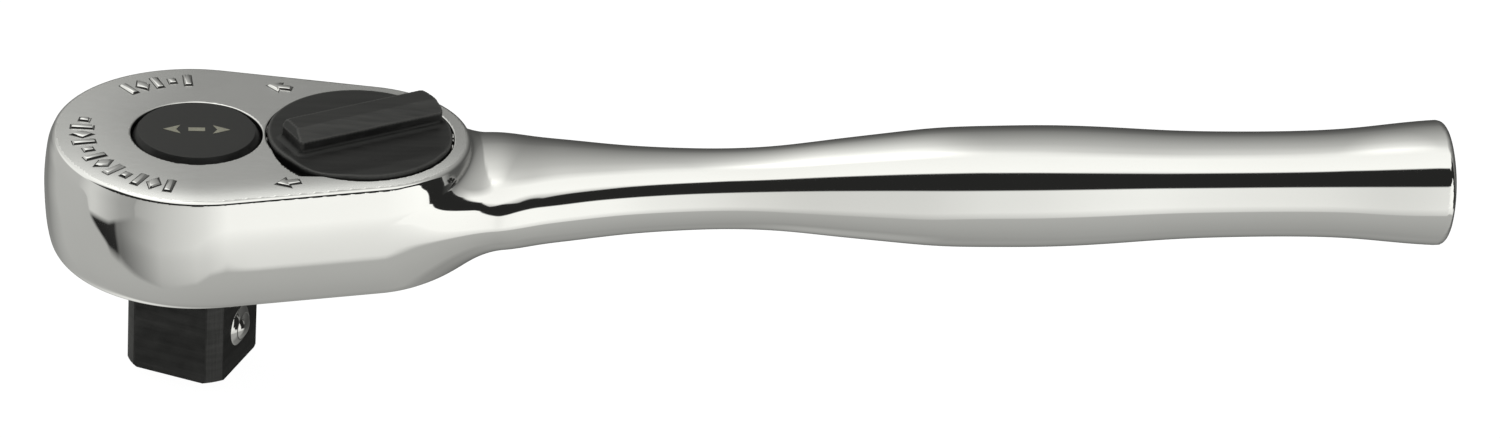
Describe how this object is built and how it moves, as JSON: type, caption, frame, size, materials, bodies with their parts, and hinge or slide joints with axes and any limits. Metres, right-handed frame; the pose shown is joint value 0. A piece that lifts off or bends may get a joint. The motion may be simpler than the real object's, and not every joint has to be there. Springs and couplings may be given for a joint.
{
  "type": "ratchet wrench",
  "caption": "Small reversible ratchet wrench with a bulged round handle, dial direction switch, push-button release and square drive with detent ball.",
  "frame": {"origin": "the drive axis at the head's bottom face", "axes": "+X along the handle, towards its end; +Z out of the head's top face, away from the square drive; +Y completes the right-handed set"},
  "size_m": [0.13, 0.0272, 0.0254],
  "materials": {
    "polished_chrome": "mirror polished plating",
    "satin_plate": "satin",
    "dark_screw": "black oxide",
    "bright_steel": "ground bright",
    "black_oxide": "black oxide, satin",
    "seal_rubber": "matte",
    "washer_brass": "satin",
    "black_button": "semi gloss",
    "black_dial": "black, semi gloss",
    "spring_steel": "drawn wire",
    "tool_steel": "machined"
  },
  "bodies": {
    "handle": {"body": "polished_chrome", "cover_plate": "satin_plate", "cover_screws": "dark_screw", "cover_dowel": "bright_steel", "thrust_washer": "washer_brass", "pawl_pin": "bright_steel", "stop_pin": "bright_steel"},
    "drive": {"drive_gear": "black_oxide", "drive_seal": "seal_rubber", "release_spring": "spring_steel", "spring_seat": "washer_brass"},
    "button": {"release_button": "black_button", "release_plunger": "bright_steel"},
    "ball": {"detent_ball": "bright_steel"},
    "selector": {"selector_dial": "black_dial", "selector_stem": "tool_steel", "selector_seal": "seal_rubber", "selector_clip": "spring_steel", "selector_spring": "spring_steel"},
    "plunger": {"selector_plunger": "bright_steel"},
    "pawl": {"pawl": "tool_steel"}
  },
  "joints": [
    {"name": "drive_spin", "type": "hinge", "parent": "handle", "child": "drive", "pos_m": [0, 0, 0], "axis": [0, 0, 1], "continuous": true},
    {"name": "button_press", "type": "slide", "parent": "drive", "child": "button", "axis": [0, 0, -1], "range_m": [0, 0.0018], "stiffness_N_per_m": 1200, "deforming": ["release_spring"]},
    {"name": "ball_retract", "type": "slide", "parent": "drive", "child": "ball", "axis": [-0.8999, 0.4362, 0], "range_m": [0, 0.00086]},
    {"name": "selector_turn", "type": "hinge", "parent": "handle", "child": "selector", "pos_m": [0.01469, 0, 0], "axis": [0, 0, 1], "range_deg": [-52, 0]},
    {"name": "pawl_rock", "type": "hinge", "parent": "handle", "child": "pawl", "pos_m": [0.0104, 0, 0], "axis": [0, 0, 1], "range_deg": [0, 15.01]},
    {"name": "plunger_retract", "type": "slide", "parent": "selector", "child": "plunger", "axis": [0.8988, 0.4384, 0], "range_m": [0, 0.0005], "stiffness_N_per_m": 400, "deforming": ["selector_spring"]}
  ],
  "couplings": [
    {"joint": "ball_retract", "follows": "button_press", "ratio": 0.47222},
    {"joint": "pawl_rock", "follows": "selector_turn", "ratio": -0.28846}
  ]
}
